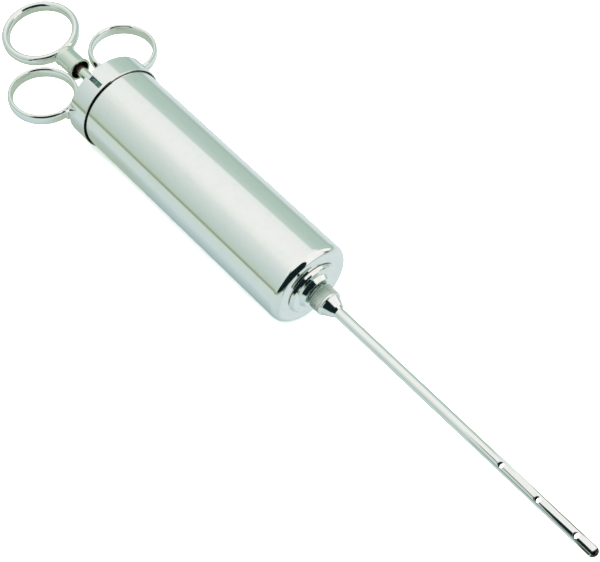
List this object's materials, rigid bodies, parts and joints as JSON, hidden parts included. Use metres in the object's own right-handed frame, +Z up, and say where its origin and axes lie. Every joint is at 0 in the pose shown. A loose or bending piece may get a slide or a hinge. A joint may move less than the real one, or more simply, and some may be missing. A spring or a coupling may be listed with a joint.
{
  "type": "meat injector",
  "caption": "Nickel-plated syringe for marinade: barrel with bayonet cap, finger rings, thumb ring on a plunger, leather piston and a long screw-on needle with side holes.",
  "frame": {"origin": "centre of the whole object's footprint, on the surface that the collar lies on", "axes": "+X along the barrel towards the needle's tip, +Y towards the left finger ring as seen from the thumb ring, +Z up, square to the plane of the finger rings"},
  "size_m": [0.3508, 0.0732, 0.0403],
  "materials": {
    "barrel_nickel": "bright polished nickel plate",
    "ring_nickel": "bright nickel plate over polished castings",
    "rod_nickel": "drawn and plated",
    "needle_nickel": "drawn tube, plated, knurled nut",
    "brass": "turned",
    "leather": "greased pressed leather",
    "rubber": "smooth"
  },
  "bodies": {
    "barrel": {"barrel_tube": "barrel_nickel", "bayonet_collar": "barrel_nickel", "nozzle": "barrel_nickel"},
    "cap": {"cap_plate": "barrel_nickel", "rod_bush": "barrel_nickel", "rod_packing": "leather", "bayonet_pin_left": "brass", "bayonet_pin_right": "brass", "finger_ring_left": "ring_nickel", "finger_ring_right": "ring_nickel", "ring_foot_left": "ring_nickel", "ring_foot_right": "ring_nickel"},
    "packing": {"front_cup": "leather", "cup_spacer": "brass", "rear_cup": "leather"},
    "plunger": {"plunger_rod": "rod_nickel", "thumb_hub": "ring_nickel", "thumb_ring": "ring_nickel", "piston_nut": "brass", "piston_front_plate": "rod_nickel", "piston_rear_plate": "rod_nickel", "piston_lock_nut": "brass"},
    "gasket": {"needle_gasket": "rubber"},
    "needle": {"needle_nut": "needle_nickel", "needle_tube": "needle_nickel", "needle_tip": "needle_nickel"}
  },
  "joints": [
    {"name": "cap_turn", "type": "hinge", "parent": "barrel", "child": "cap", "pos_m": [-0.10433, 0, 0.02014], "axis": [1, 0, 0], "range_deg": [-63, 0]},
    {"name": "plunger_slide", "type": "slide", "parent": "barrel", "child": "packing", "axis": [-1, 0, 0], "range_m": [0, 0.107]},
    {"name": "plunger_spin", "type": "hinge", "parent": "packing", "child": "plunger", "pos_m": [-0.15782, 0, 0.02014], "axis": [1, 0, 0], "continuous": true},
    {"name": "needle_feed", "type": "slide", "parent": "barrel", "child": "gasket", "axis": [1, 0, 0], "range_m": [0, 0.00401]},
    {"name": "needle_turn", "type": "hinge", "parent": "gasket", "child": "needle", "pos_m": [0.03168, 0, 0.02014], "axis": [1, 0, 0], "range_deg": [0, 1440]}
  ],
  "couplings": [
    {"joint": "needle_feed", "follows": "needle_turn", "m_per_rad": 0.00015915}
  ]
}
